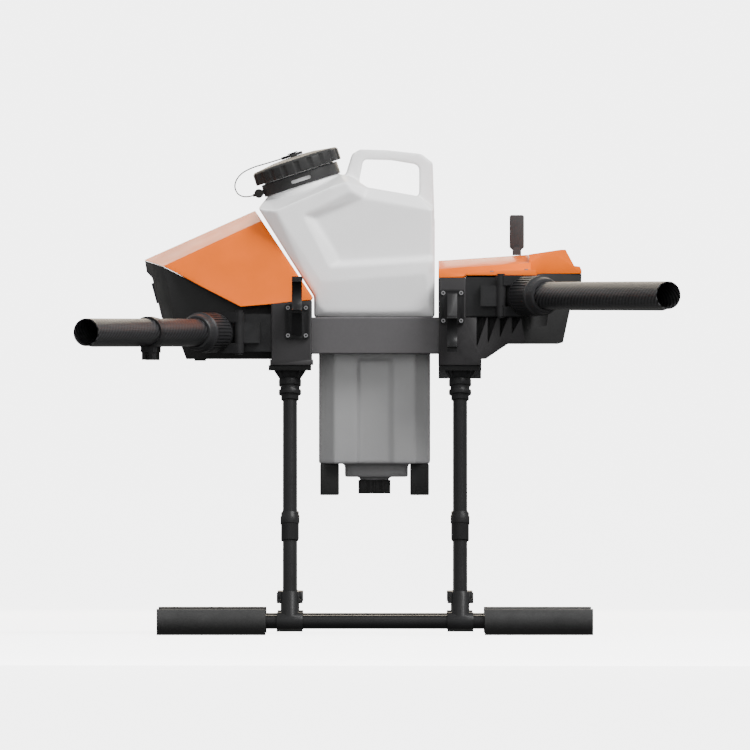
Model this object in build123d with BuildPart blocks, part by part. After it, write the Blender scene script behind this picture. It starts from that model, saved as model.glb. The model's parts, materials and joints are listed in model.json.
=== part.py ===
from build123d import *
import math
import os

# Foldable quadcopter airframe for crop spraying. Millimetres. The nose points along -X, the craft's
# left side is -Y, and it stands on Z 0. The origin is on the ground, midway between the arm tips.

# ---------------------------------------------------------------- driving dimensions
GAP = 0.4  # between faces that move past each other
RUNNING = 0.05  # radial clearance of a pin in its knuckle
FIT = 0.02  # radial clearance of a tube in a fitting that is glued or clamped to it

ARM_TUBE_R = 20.0
ARM_BORE_R = 18.5
ARM_REACH = 454.0  # from the split plane to the open end
ARM_FRONT_Z = 436.7
ARM_REAR_Z = 489.8
PIN_FRONT_X = -199.4
PIN_REAR_X = 178.6
PIN_Y = 195.0
PIN_R = 4.0
PIN_OFFSET = 36.0  # hinge pin to tube axis
FRONT_SPLAY = 24.0
REAR_SPLAY = 27.0
BARREL_R = 7.0
LEAF_HALF_H = 15.0  # the fixed middle knuckle
HINGE_HALF_H = 29.6
FERRULE_R = 23.0
FLANGE_R = 28.5
COLLAR_R = 29.0
COLLAR_GRIP = 50.0
COLLAR_LIP = 16.0

BEAM_IN_Y = 126.0
BEAM_OUT_Y = 150.0
BEAM_LOW_Z = 406.0
BEAM_TOP_Z = 459.0
FACE_Y = 186.0  # outer face of the corner brackets
FRONT_BRACKET_X = (-153.0, -94.7)
REAR_BRACKET_X = (88.9, 127.8)

LEG_FRONT_X = -126.4
LEG_REAR_X = 120.1
LEG_TOP_Y = 150.0
LEG_TOP_Z = 390.0
LEG_SPLAY = 12.0
LEG_R = 10.0
LEG_WALL = 1.5
SKID_R = 10.0
SKID_Z = 19.0
FOAM_R = 19.0

TANK_HALF_Y = 132.0
TANK_LOW_HALF_Y = 111.0
TANK_WALL = 3.0
TANK_SEAT_Z = 459.3
NECK_TILT = 18.0
NECK_X = -113.7  # foot of the lid, on the neck's axis
NECK_Z = 669.2
LID_R = 64.5

SIDES = ("left", "right")
os.makedirs("parts", exist_ok=True)


def on_side(piece, side):
    return piece if side == "left" else mirror(piece, about=Plane.XZ)


def save(piece, name):
    piece.label = name
    export_step(piece, f"parts/{name}.step")


def plane_through(a, b, c):
    """The plane through three points, its normal on the side from which they run anticlockwise."""
    a, b, c = Vector(*a), Vector(*b), Vector(*c)
    return Plane(origin=a, x_dir=b - a, z_dir=(b - a).cross(c - a))


# ---------------------------------------------------------------- main frame
BEAM_X = (-148.0, 122.0)
BEAM_WALL = 3.0
CROSS_TUBE_XS = (-126.0, 108.0)
CROSS_TUBE_Z = 424.0
CROSS_TUBE_SIZE = 24.0
CROSS_TUBE_BORE = 19.0

with BuildPart() as side_beams:
    beam_mid_y = (BEAM_IN_Y + BEAM_OUT_Y) / 2
    beam_mid_z = (BEAM_LOW_Z + BEAM_TOP_Z) / 2
    with BuildSketch(Plane.YZ.offset(BEAM_X[0])):
        with Locations((-beam_mid_y, beam_mid_z)):
            beam_wide, beam_high = BEAM_OUT_Y - BEAM_IN_Y, BEAM_TOP_Z - BEAM_LOW_Z
            RectangleRounded(beam_wide, beam_high, 2)
            RectangleRounded(beam_wide - 2 * BEAM_WALL, beam_high - 2 * BEAM_WALL, 1, mode=Mode.SUBTRACT)
    extrude(amount=BEAM_X[1] - BEAM_X[0])
    mirror(about=Plane.XZ)
save(side_beams.part, "side_beams")

with BuildPart() as cross_tubes:
    for tube_x in CROSS_TUBE_XS:
        with BuildSketch(Plane.XZ.offset(-BEAM_IN_Y)):
            with Locations((tube_x, CROSS_TUBE_Z)):
                RectangleRounded(CROSS_TUBE_SIZE, CROSS_TUBE_SIZE, 2)
                RectangleRounded(CROSS_TUBE_BORE, CROSS_TUBE_BORE, 1, mode=Mode.SUBTRACT)
        extrude(amount=2 * BEAM_IN_Y)
save(cross_tubes.part, "cross_tubes")

front_bracket_outline = [
    (-155, 390), (-93, 390), (-93, 398), (-94.7, 398), (-94.7, 483.2), (-153, 478.4), (-153, 398),
    (-155, 398),
]
rear_bracket_outline = [
    (88.9, 390), (150.6, 390), (150.6, 398.5), (157.3, 399), (189, 420.5), (214, 420.5), (208, 458.6),
    (127.8, 458.6), (127.8, 516), (88.9, 516),
]
rear_notches = [(143.5, 158.5, 417.0), (159.5, 173.5, 422.5), (177.0, 189.0, 430.6), (194.5, 208.5, 436.0)]


POCKET_Y = -168.0
POCKET_WIDTH = 24.0
POCKET_DEPTH = 70.0
NOTCH_TOP_Z = 458.7
NOTCH_DEPTH = 32.0


def bracket(outline, low_x, high_x, notches):
    """A corner casting: the side beam runs through its channel, and pockets lighten it from above."""
    with BuildPart() as casting:
        with BuildSketch(Plane.XZ.offset(BEAM_IN_Y)):
            with BuildLine():
                Polyline(outline, close=True)
            make_face()
        extrude(amount=FACE_Y - BEAM_IN_Y)
        corners = casting.edges().filter_by(Axis.Z).group_by(Axis.Y)[0]
        fillet(corners.filter_by(lambda edge: edge.length > 30), 2)
        with Locations(((low_x + high_x) / 2, -(BEAM_IN_Y + BEAM_OUT_Y) / 2, (BEAM_LOW_Z + BEAM_TOP_Z) / 2)):
            Box(400, BEAM_OUT_Y - BEAM_IN_Y + 0.1, BEAM_TOP_Z - BEAM_LOW_Z + 0.1, mode=Mode.SUBTRACT)
        with BuildSketch(Plane.XY.offset(max(z for x, z in outline))):
            with Locations(((low_x + high_x) / 2, POCKET_Y)):
                with GridLocations((high_x - low_x - 6) / 2, 0, 2, 1):
                    RectangleRounded((high_x - low_x - 18) / 2, POCKET_WIDTH, 2)
        extrude(amount=-POCKET_DEPTH, mode=Mode.SUBTRACT)
        for from_x, to_x, tip_z in notches:
            with BuildSketch(Plane.XZ.offset(FACE_Y)):
                with BuildLine():
                    mouth = [(from_x, NOTCH_TOP_Z), (to_x, NOTCH_TOP_Z)]
                    Polyline([*mouth, (from_x + 0.8, tip_z), (from_x, tip_z)], close=True)
                make_face()
            extrude(amount=-NOTCH_DEPTH, mode=Mode.SUBTRACT)
    return casting.part


front_bracket = bracket(front_bracket_outline, *FRONT_BRACKET_X, [])
rear_bracket = bracket(rear_bracket_outline, *REAR_BRACKET_X, rear_notches)
corner_brackets = [on_side(casting, side) for casting in (front_bracket, rear_bracket) for side in SIDES]
save(Compound(corner_brackets), "brackets")

# ---------------------------------------------------------------- arms
# An arm's own frame has x outward along the tube, z up, and its origin on the split plane.
ARMS = {
    "front": dict(pin_x=PIN_FRONT_X, z=ARM_FRONT_Z, heading=-90 - FRONT_SPLAY, pin_side=1, toward=1),
    "rear": dict(pin_x=PIN_REAR_X, z=ARM_REAR_Z, heading=-90 + REAR_SPLAY, pin_side=-1, toward=-1),
}


def arm_origin(arm):
    heading = math.radians(arm["heading"])
    reach = arm["pin_side"] * PIN_OFFSET
    return arm["pin_x"] + reach * math.sin(heading), -PIN_Y - reach * math.cos(heading)


def arm_place(arm):
    x, y = arm_origin(arm)
    return Location((x, y, arm["z"]), (0, 0, arm["heading"]))


ROOT_TOP = 27.0  # above the arm's axis
ROOT_STUB_R = 28.0
ROOT_STUB = 44.0
CABLE_BORE_R = 15.0


def arm_root(arm):
    """The fixed half of the fold: block, hollow stub, hinge leaf and middle knuckle."""
    origin_x, origin_y = arm_origin(arm)
    toward = arm["toward"]  # +1 when the craft's middle lies towards +X
    pin_x, mid_z = arm["pin_x"], arm["z"]
    bracket_x = FRONT_BRACKET_X[0] if toward > 0 else REAR_BRACKET_X[1]
    far_x = origin_x - toward * 20
    heading = math.radians(arm["heading"])
    outward = (math.cos(heading), math.sin(heading), 0)
    split = Plane(origin=(origin_x, origin_y, mid_z), x_dir=(0, 0, 1), z_dir=outward)
    low_z = -27.5 if toward > 0 else -29.6
    with BuildPart() as root:
        with BuildSketch(Plane.XY.offset(mid_z + low_z)):
            with BuildLine():
                Polyline(
                    [
                        (bracket_x, -124.5), (far_x, -124.5), (far_x, -162), (pin_x - toward * 4, -162),
                        (pin_x - toward * 4, -183), (bracket_x, -183),
                    ],
                    close=True,
                )
            make_face()
        extrude(amount=ROOT_TOP - low_z)
        with BuildSketch(split.offset(-GAP)):
            Circle(ROOT_STUB_R)
        extrude(amount=-ROOT_STUB)
        with BuildSketch(Plane.XY.offset(mid_z - LEAF_HALF_H)):
            with Locations((pin_x, -PIN_Y)):
                Circle(BARREL_R)
            with Locations((pin_x + toward * 14.7, -(PIN_Y - 5))):
                Rectangle(29.4, 16)
        extrude(amount=2 * LEAF_HALF_H)
        with BuildSketch(Plane.XY.offset(mid_z - 40)):
            with Locations((pin_x, -PIN_Y)):
                Circle(PIN_R)
        extrude(amount=80, mode=Mode.SUBTRACT)
        with BuildSketch(split):
            Circle(CABLE_BORE_R)
        extrude(amount=-60, mode=Mode.SUBTRACT)
    return root.part


TUBE_START = 8.4  # from the split plane
FLANGE = 8.0


def ferrule(arm):
    """The moving half of the fold: a flanged sleeve with the two outer knuckles."""
    pin_y = arm["pin_side"] * PIN_OFFSET
    ear_mid_z = (LEAF_HALF_H + 0.2 + HINGE_HALF_H) / 2
    ear_h = HINGE_HALF_H - LEAF_HALF_H - 0.2
    with BuildPart() as sleeve:
        with BuildSketch(Plane.YZ.offset(GAP)):
            Circle(FLANGE_R)
        extrude(amount=FLANGE)
        with BuildSketch(Plane.YZ.offset(GAP)):
            Circle(FERRULE_R)
        extrude(amount=COLLAR_GRIP + FLANGE)
        for level in (ear_mid_z, -ear_mid_z):
            with BuildSketch(Plane.XY.offset(level - ear_h / 2)):
                with Locations((0, pin_y)):
                    Circle(BARREL_R)
                with Locations((GAP + 4, pin_y / 2 + arm["pin_side"] * 2.5)):
                    Rectangle(8, PIN_OFFSET - 5)
            extrude(amount=ear_h)
        with BuildSketch(Plane.XY.offset(-40)):
            with Locations((0, pin_y)):
                Circle(PIN_R + RUNNING)
        extrude(amount=80, mode=Mode.SUBTRACT)
        with BuildSketch(Plane.YZ.offset(TUBE_START)):
            Circle(ARM_TUBE_R + FIT)
        extrude(amount=80, mode=Mode.SUBTRACT)
        with BuildSketch(Plane.YZ.offset(GAP)):
            Circle(ARM_BORE_R)
        extrude(amount=20, mode=Mode.SUBTRACT)
    return sleeve.part


with BuildPart() as tube:
    with BuildSketch(Plane.YZ.offset(TUBE_START)):
        Circle(ARM_TUBE_R)
        Circle(ARM_BORE_R, mode=Mode.SUBTRACT)
    extrude(amount=ARM_REACH - TUBE_START)

RIBS = 36
RIB_GROOVE = (2.6, 2.4)
COLLAR_START = 8.8
COLLAR_BORE_R = 23.4
COLLAR_LIP_BORE_R = 20.4
with BuildPart() as collar:
    grip_end = COLLAR_START + COLLAR_GRIP
    with BuildSketch(Plane.XZ):
        with BuildLine():
            Polyline(
                [
                    (COLLAR_START, COLLAR_BORE_R), (COLLAR_START, COLLAR_R - 1.2),
                    (COLLAR_START + 1.2, COLLAR_R), (grip_end, COLLAR_R), (grip_end + 2, COLLAR_R - 1.8),
                    (grip_end + COLLAR_LIP - 2, 25), (grip_end + COLLAR_LIP, 23.6),
                    (grip_end + COLLAR_LIP, COLLAR_LIP_BORE_R), (grip_end + 0.4, COLLAR_LIP_BORE_R),
                    (grip_end + 0.4, COLLAR_BORE_R),
                ],
                close=True,
            )
        make_face()
    revolve(axis=Axis.X)
    with BuildSketch(Plane.YZ.offset(12)):
        with PolarLocations(COLLAR_R, RIBS):
            Rectangle(*RIB_GROOVE)
    extrude(amount=COLLAR_GRIP - 6, mode=Mode.SUBTRACT)

HOSE_CLIP_AT = 236.0  # distance out along the front tubes
HOSE_CLIP_LENGTH = 14.0
HOSE_R = 3.1
with BuildPart() as hose_clip:
    with BuildSketch(Plane.YZ.offset(HOSE_CLIP_AT - HOSE_CLIP_LENGTH / 2)):
        Circle(23)
        with Locations((0, -24.5)):
            Rectangle(20, 8)
        with Locations((-5.5, -33), (5.5, -33)):
            Rectangle(5.5, 13)
        Circle(ARM_TUBE_R + FIT, mode=Mode.SUBTRACT)
        with Locations((0, -32.4)):
            Circle(HOSE_R, mode=Mode.SUBTRACT)
    extrude(amount=HOSE_CLIP_LENGTH)

for end, arm in ARMS.items():
    for side in SIDES:
        name = f"{end}_{side}"
        place = arm_place(arm)
        save(on_side(arm_root(arm), side), f"arm_root_{name}")
        save(on_side(place * ferrule(arm), side), f"arm_ferrule_{name}")
        save(on_side(place * tube.part, side), f"arm_tube_{name}")
        save(on_side(place * collar.part, side), f"locking_collar_{name}")
        if end == "front":
            save(on_side(place * hose_clip.part, side), f"hose_clip_{side}")

PIN_HEAD_R = 5.6
PIN_HEAD = 2.0
with BuildPart() as hinge_pins:
    for arm in ARMS.values():
        with Locations((arm["pin_x"], -PIN_Y, arm["z"])):
            Cylinder(PIN_R, 2 * HINGE_HALF_H + 0.8)
        head_z = HINGE_HALF_H + GAP + PIN_HEAD / 2
        for end_z in (head_z, -head_z):
            with Locations((arm["pin_x"], -PIN_Y, arm["z"] + end_z)):
                Cylinder(PIN_HEAD_R, PIN_HEAD)
    mirror(about=Plane.XZ)
save(hinge_pins.part, "hinge_pins")

# ---------------------------------------------------------------- arm clips, which hold the folded arms
CLIP_SEAT = PIN_Y + PIN_OFFSET - FACE_Y  # bracket face to the folded tube's axis
CLIP_RISE = 37.2
CLIPS = [(-116.0, 452.6, 1), (108.3, 474.0, -1)]
SCREW_SPACING = (25.8, 40.0)
CLIP_PLATE = 4.0
CLIP_WIDTH = 14.4
SEAT_R = ARM_TUBE_R + 0.6
SEAT_WALL = 3.8
SCREW_HEAD_R = 3.0
SCREW_SHANK_R = 1.95
SCREW_HEAD = 2.0
HEX_R = 1.5

with BuildPart() as clip:
    with BuildSketch(Plane.XZ.offset(FACE_Y)):
        RectangleRounded(35, 50, 3)
    extrude(amount=CLIP_PLATE)
    with BuildSketch(Plane.YZ.offset(-CLIP_WIDTH / 2)):
        with BuildLine():
            Polyline(
                [
                    (-FACE_Y - 2, -19), (-FACE_Y - 2, 24), (-FACE_Y - 17, 47), (-FACE_Y - 27, 47),
                    (-FACE_Y - 26, 22), (-FACE_Y - 9, -19),
                ],
                close=True,
            )
        make_face()
        with Locations((-FACE_Y - CLIP_SEAT, CLIP_RISE)):
            Circle(SEAT_R + SEAT_WALL)
        with Locations((-FACE_Y - CLIP_SEAT - 4, CLIP_RISE + 22.6)):
            Rectangle(12, 3.6)
        with Locations((-FACE_Y - CLIP_SEAT - 9, CLIP_RISE + 24.9)):
            Rectangle(3, 6)
        with Locations((-FACE_Y - CLIP_SEAT - 4, CLIP_RISE - 22.6)):
            Rectangle(12, 3.6)
        with Locations((-FACE_Y - CLIP_SEAT, CLIP_RISE)):
            Circle(SEAT_R, mode=Mode.SUBTRACT)
        with Locations((-FACE_Y - CLIP_SEAT - 20, CLIP_RISE)):
            Rectangle(40, 2 * SEAT_R, mode=Mode.SUBTRACT)
    extrude(amount=CLIP_WIDTH)
    with BuildSketch(Plane.XZ.offset(FACE_Y + 10)):
        with GridLocations(*SCREW_SPACING, 2, 2):
            Circle(2.0)
    extrude(amount=-12, mode=Mode.SUBTRACT)

clip_pair = []
for clip_x, clip_z, up in CLIPS:
    shape = clip.part if up > 0 else mirror(clip.part, about=Plane.XY)
    clip_pair.append(Pos(clip_x, 0, clip_z) * shape)
save(Compound([*clip_pair, *(mirror(each, about=Plane.XZ) for each in clip_pair)]), "arm_clips")

with BuildPart() as clip_screws:
    for clip_x, clip_z, up in CLIPS:
        with BuildSketch(Plane.XZ.offset(FACE_Y + CLIP_PLATE)):
            with Locations((clip_x, clip_z)):
                with GridLocations(*SCREW_SPACING, 2, 2):
                    Circle(SCREW_HEAD_R)
        extrude(amount=SCREW_HEAD)
        with BuildSketch(Plane.XZ.offset(FACE_Y + CLIP_PLATE)):
            with Locations((clip_x, clip_z)):
                with GridLocations(*SCREW_SPACING, 2, 2):
                    Circle(SCREW_SHANK_R)
        extrude(amount=-CLIP_PLATE)
        with BuildSketch(Plane.XZ.offset(FACE_Y + CLIP_PLATE + SCREW_HEAD)):
            with Locations((clip_x, clip_z)):
                with GridLocations(*SCREW_SPACING, 2, 2):
                    RegularPolygon(HEX_R, 6)
        extrude(amount=-1.2, mode=Mode.SUBTRACT)
    mirror(about=Plane.XZ)
save(clip_screws.part, "clip_screws")

# ---------------------------------------------------------------- nose: shell and cover
# The cover is a faceted hood: a ridge, two top facets and two side facets, cut by planes.
NOSE_TIP = (-338.0, -20.0, 542.0)
RIDGE_BACK = (-177.0, -20.0, 613.7)
FOLD_FRONT = (-309.4, -105.0, 532.6)
FOLD_BACK = (-167.8, -95.0, 598.3)
SKIRT_LOW = (-197.4, -150.0, 475.3)


def nose_hood(inset):
    """The outer form of the front cover; with an inset, the space inside it, open below."""
    drop = 14 if inset else 0
    with BuildPart() as hood:
        with BuildSketch(Plane.XZ.offset(-170)):
            with BuildLine():
                Polyline(
                    [
                        (-338, 542), (-177, 613.7), (-93, 488), (-95.9, 483.6 - drop), (-197.4, 475.3 - drop),
                        (-309.4, 532.6 - drop),
                    ],
                    close=True,
                )
            make_face()
            if inset:
                offset(amount=-inset, kind=Kind.INTERSECTION)
        extrude(amount=340)
        top = plane_through(NOSE_TIP, FOLD_FRONT, FOLD_BACK).offset(-inset)
        flank = plane_through(FOLD_FRONT, SKIRT_LOW, FOLD_BACK).offset(-inset)
        prow = plane_through(NOSE_TIP, (-330, -20, 500), FOLD_FRONT).offset(-inset)
        for face in (top, flank, prow):
            split(bisect_by=face, keep=Keep.BOTTOM)
            split(bisect_by=mirrored_plane(face), keep=Keep.TOP)
    return hood.part


def mirrored_plane(face):
    """The plane's mirror image about XZ, with its normal turned to point inward."""
    o, x, z = face.origin, face.x_dir, face.z_dir
    return Plane(origin=(o.X, -o.Y, o.Z), x_dir=(x.X, -x.Y, x.Z), z_dir=(-z.X, z.Y, -z.Z))


def mirrored_outline(points):
    """A closed plan outline from its left half."""
    return points + [(x, -y) for x, y in reversed(points)]


def tub(side_outline, plan_outline, inset):
    """The space common to a side outline and a plan outline, both moved inward by inset."""
    with BuildPart() as form:
        with BuildSketch(Plane.XZ.offset(-200)):
            with BuildLine():
                Polyline(side_outline, close=True)
            make_face()
            if inset:
                offset(amount=-inset, kind=Kind.INTERSECTION)
        extrude(amount=400)
        with BuildSketch(Plane.XY.offset(300)):
            with BuildLine():
                Polyline(mirrored_outline(plan_outline), close=True)
            make_face()
            if inset:
                offset(amount=-inset, kind=Kind.INTERSECTION)
        extrude(amount=400, mode=Mode.INTERSECT)
    return form.part


SHELL_WALL = 2.6

with BuildPart() as front_cover:
    add(nose_hood(0))
    add(nose_hood(SHELL_WALL), mode=Mode.SUBTRACT)
save(front_cover.part, "front_cover")

nose_plan = [(-340, -104), (-309.4, -104.5), (-197.4, -121), (-153.4, -123.2)]


def nose_side(lift):
    """Side outline of the nose tub; lift raises its open top clear of the wall."""
    return [
        (-336.8, 541.2 + lift), (-334.3, 525), (-326, 516), (-312.4, 459), (-282.7, 415.4), (-276.3, 398.5),
        (-153.4, 398.5), (-153.4, 478.0 + lift), (-197.4, 474.9 + lift), (-309.4, 532.2 + lift),
    ]


def nose_form(lift, inset):
    """The nose tub's form, its two front corners cut by a slanting plane."""
    with BuildPart() as form:
        add(tub(nose_side(lift), nose_plan, inset))
        corner = plane_through((-337, -19, 541), (-290, -112, 440), (-309.4, -105, 532.2)).offset(-inset)
        split(bisect_by=corner, keep=Keep.BOTTOM)
        split(bisect_by=mirrored_plane(corner), keep=Keep.TOP)
    return form.part


with BuildPart() as front_shell:
    add(nose_form(0, 0))
    add(nose_form(30, SHELL_WALL), mode=Mode.SUBTRACT)
    with Locations((-256.6, -60, 397.3), (-256.6, 60, 397.3)):
        Box(16, 24, 2.6)
    with Locations((-330, 0, 492)):
        Box(40, 34, 34, rotation=(0, -15, 0), mode=Mode.SUBTRACT)
save(front_shell.part, "front_shell")

# ---------------------------------------------------------------- tail: shell and cover
tail_plan = [(89, -124), (222, -124), (252, -104), (296, -66)]
tail_roof_side = [(89, 516.5), (89, 541), (222, 549.8), (222, 519.8), (128, 519.8), (128, 516.5)]
tail_hump_side = [
    (220, 519.8), (220, 550), (245.3, 553.9), (266, 557), (272.7, 557), (285.3, 533.6), (293.4, 532.6),
    (296, 527), (296, 522.4), (240, 522.4),
]
hump_plan = [(220, -112), (250, -103), (296, -66)]


def roofed(form, inset):
    """The tail's front part with its two sloping roof facets cut on each side."""
    with BuildPart() as roof:
        add(form)
        upper = plane_through((89, -60, 541), (89, -114, 529), (215.7, -60, 549.4)).offset(-inset)
        lower = plane_through((89, -114, 529), (89, -124, 516.5), (220, -114, 537.7)).offset(-inset)
        for face in (upper, lower):
            split(bisect_by=face, keep=Keep.BOTTOM)
            split(bisect_by=mirrored_plane(face), keep=Keep.TOP)
    return roof.part


def lowered(outline, floor_z, amount):
    """An outline with every point under floor_z moved down, to open a form's underside."""
    return [(x, z - amount if z < floor_z else z) for x, z in outline]


with BuildPart() as rear_cover:
    add(roofed(tub(tail_roof_side, tail_plan, 0), 0))
    add(tub(tail_hump_side, hump_plan, 0))
    add(roofed(tub(lowered(tail_roof_side, 525, 12), tail_plan, SHELL_WALL), SHELL_WALL), mode=Mode.SUBTRACT)
    add(tub(lowered(tail_hump_side, 525, 12), hump_plan, SHELL_WALL), mode=Mode.SUBTRACT)
    for wall in (1, -1):
        with BuildSketch(Plane.XZ.offset(wall * 122.3)):
            with BuildLine():
                Polyline([(128.2, 519.6), (128.2, 522.4), (229, 527.7), (230.5, 519.6)], close=True)
            make_face()
        extrude(amount=wall * 54)
save(rear_cover.part, "rear_cover")

tail_side = [
    (128.2, 398.5), (157.3, 399), (189, 420.5), (261.7, 420.5), (269, 422.5), (279, 469), (295.6, 510),
    (296, 522), (240, 522), (220, 519.4), (128.2, 519.4),
]
tail_shell_plan = [(128.2, -122), (222, -122), (252, -102), (296, -64)]

with BuildPart() as rear_shell:
    add(tub(tail_side, tail_shell_plan, 0))
    raised = [(x, z + 12 if z > 515 else z) for x, z in tail_side]
    add(tub(raised, tail_shell_plan, SHELL_WALL), mode=Mode.SUBTRACT)
save(rear_shell.part, "rear_shell")

with BuildPart() as cover_screws:
    for x, z in ((165.8, 524.4), (215.4, 527.0)):
        with Locations((x, -150, z + 0.8)):
            Cylinder(3, 2.2)
    mirror(about=Plane.XZ)
save(cover_screws.part, "cover_screws")

# ---------------------------------------------------------------- landing gear
def leg_plane(leg_x):
    """The left leg's own plane: origin under the bracket, normal down and outward along the leg."""
    splay = math.radians(LEG_SPLAY)
    return Plane(
        origin=(leg_x, -LEG_TOP_Y, LEG_TOP_Z), x_dir=(1, 0, 0), z_dir=(0, -math.sin(splay), -math.cos(splay))
    )


def along(z):
    """Distance down the leg's axis to the height z."""
    return (LEG_TOP_Z - z) / math.cos(math.radians(LEG_SPLAY))


SKID_Y = LEG_TOP_Y + (LEG_TOP_Z - SKID_Z) * math.tan(math.radians(LEG_SPLAY))
LEGS = (LEG_FRONT_X, LEG_REAR_X)


def ring(plane, start, end, outer, inner=0.0, mode=Mode.ADD):
    with BuildSketch(plane.offset(start)) as section:
        Circle(outer)
        if inner:
            Circle(inner, mode=Mode.SUBTRACT)
    extrude(section.sketch, amount=end - start, mode=mode)


with BuildPart() as leg_sockets:
    for leg_x in LEGS:
        plane = leg_plane(leg_x)
        with BuildSketch(plane.offset(5)):
            Circle(20)
        with BuildSketch(plane.offset(21)):
            Circle(12.5)
        loft()
        for rib in range(8):
            radial = plane.x_dir.rotate(Axis(plane.origin, plane.z_dir), rib * 45)
            with BuildSketch(Plane(plane.origin, x_dir=radial, z_dir=radial.cross(plane.z_dir))):
                with BuildLine():
                    Polyline([(10, 5.6), (22.5, 5.6), (22.5, 9), (14.5, 21), (10, 21)], close=True)
                make_face()
            extrude(amount=1.2, both=True)
        with Locations((leg_x, -LEG_TOP_Y, LEG_TOP_Z - 4.05)):
            Box(61, 58, 7.9)
        ring(plane, 4, 60, LEG_R + FIT, mode=Mode.SUBTRACT)
    mirror(about=Plane.XZ)
save(leg_sockets.part, "leg_sockets")

with BuildPart() as leg_nuts:
    for leg_x in LEGS:
        plane = leg_plane(leg_x)
        for start, end, radius in ((21.2, 31, 15.8), (31, 37, 13.6), (37, 44, 15.8), (44, 52, 12.5)):
            ring(plane, start, end, radius)
        ring(plane, 20, 60, LEG_R + FIT, mode=Mode.SUBTRACT)
    mirror(about=Plane.XZ)
save(leg_nuts.part, "leg_nuts")

LEG_JOINT = along(156.4)  # the tubes butt inside the joining sleeve
TEE_LENGTH = 37.5
with BuildPart() as leg_tubes_upper:
    for leg_x in LEGS:
        ring(leg_plane(leg_x), 4, LEG_JOINT, LEG_R, LEG_R - LEG_WALL)
    mirror(about=Plane.XZ)
save(leg_tubes_upper.part, "leg_tubes_upper")

with BuildPart() as leg_tubes_lower:
    for leg_x in LEGS:
        ring(leg_plane(leg_x), LEG_JOINT, along(36), LEG_R, LEG_R - LEG_WALL)
    mirror(about=Plane.XZ)
save(leg_tubes_lower.part, "leg_tubes_lower")

with BuildPart() as leg_sleeves:
    for leg_x in LEGS:
        plane = leg_plane(leg_x)
        ring(plane, along(176.5), along(136.3), 12.5)
        ring(plane, along(171), along(160), 13.4)
        ring(plane, along(180), along(130), LEG_R + FIT, mode=Mode.SUBTRACT)
    mirror(about=Plane.XZ)
save(leg_sleeves.part, "leg_sleeves")

with BuildPart() as skid_tees:
    for leg_x in LEGS:
        plane = leg_plane(leg_x)
        with BuildSketch(Plane.YZ.offset(leg_x - TEE_LENGTH / 2)):
            with Locations((-SKID_Y, SKID_Z)):
                Circle(14)
            with Locations((-SKID_Y, SKID_Z - 4)):
                Rectangle(20, 19)
        extrude(amount=TEE_LENGTH)
        ring(plane, along(61), along(24), 13)
        with BuildSketch(plane.offset(along(61))):
            RectangleRounded(TEE_LENGTH, 9, 3)
        extrude(amount=14.5)
        with BuildSketch(Plane.YZ.offset(leg_x - 30)):
            with Locations((-SKID_Y, SKID_Z)):
                Circle(SKID_R + FIT)
        extrude(amount=60, mode=Mode.SUBTRACT)
        ring(plane, along(70), along(36), LEG_R + FIT, mode=Mode.SUBTRACT)
        with BuildSketch(Plane.XZ.offset(SKID_Y - 40)):
            with Locations((leg_x - 15.3, 53.8), (leg_x + 15.3, 53.8)):
                Circle(1.6)
        extrude(amount=60, mode=Mode.SUBTRACT)
    mirror(about=Plane.XZ)
save(skid_tees.part, "skid_tees")

SKID_ENDS = (-318.5, 311.7)
FOAM_INNER_ENDS = (-161.2, 155.2)
PLUG_HEAD = 1.5
PLUG_DEPTH = 14.0
with BuildPart() as skid_tubes:
    with BuildSketch(Plane.YZ.offset(SKID_ENDS[0] + PLUG_HEAD)):
        with Locations((-SKID_Y, SKID_Z)):
            Circle(SKID_R)
            Circle(SKID_R - LEG_WALL, mode=Mode.SUBTRACT)
    extrude(amount=SKID_ENDS[1] - SKID_ENDS[0] - 2 * PLUG_HEAD)
    mirror(about=Plane.XZ)
save(skid_tubes.part, "skid_tubes")

with BuildPart() as skid_plugs:
    for end_x, inward in ((SKID_ENDS[0], 1), (SKID_ENDS[1], -1)):
        with BuildSketch(Plane.YZ.offset(end_x)):
            with Locations((-SKID_Y, SKID_Z)):
                Circle(SKID_R)
        extrude(amount=inward * PLUG_HEAD)
        with BuildSketch(Plane.YZ.offset(end_x)):
            with Locations((-SKID_Y, SKID_Z)):
                Circle(SKID_R - LEG_WALL - FIT)
        extrude(amount=inward * PLUG_DEPTH)
    mirror(about=Plane.XZ)
save(skid_plugs.part, "skid_plugs")

with BuildPart() as skid_foams:
    for start_x, end_x in ((SKID_ENDS[0], FOAM_INNER_ENDS[0]), (FOAM_INNER_ENDS[1], SKID_ENDS[1])):
        with BuildSketch(Plane.YZ.offset(start_x)):
            with Locations((-SKID_Y, SKID_Z)):
                Circle(FOAM_R)
                Circle(SKID_R + FIT, mode=Mode.SUBTRACT)
        extrude(amount=end_x - start_x)
    mirror(about=Plane.XZ)
save(skid_foams.part, "skid_foams")

# ---------------------------------------------------------------- tank
tank_outline = [
    (-91.6, TANK_SEAT_Z), (-91.6, 489), (-172, 616.8), (-161.6, 630.8), (-53, 666.6), (-36.5, 662),
    (-14, 647), (59, 634.4), (80.5, 617.4), (83.3, 600), (83.3, TANK_SEAT_Z),
]
panel_outline = [(-84.8, 596), (-24, 626), (56, 613), (80, 602), (78.4, 547.2), (-49.7, 539.4)]
TANK_LOW = (-84.5, 76.8)
TANK_FLOOR_Z = 246.9
SUMP = (-46.9, 44.6)
SUMP_FLOOR_Z = 227.7
SUMP_HALF_Y = 46.0
OUTLET_X = -4.1
CHANNEL_X = -3.5
CHANNEL_WIDTH = 47.0
PANEL_DEPTH = 5.0
RIM = 9.0  # depth of the slope round the tank's two sides


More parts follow.
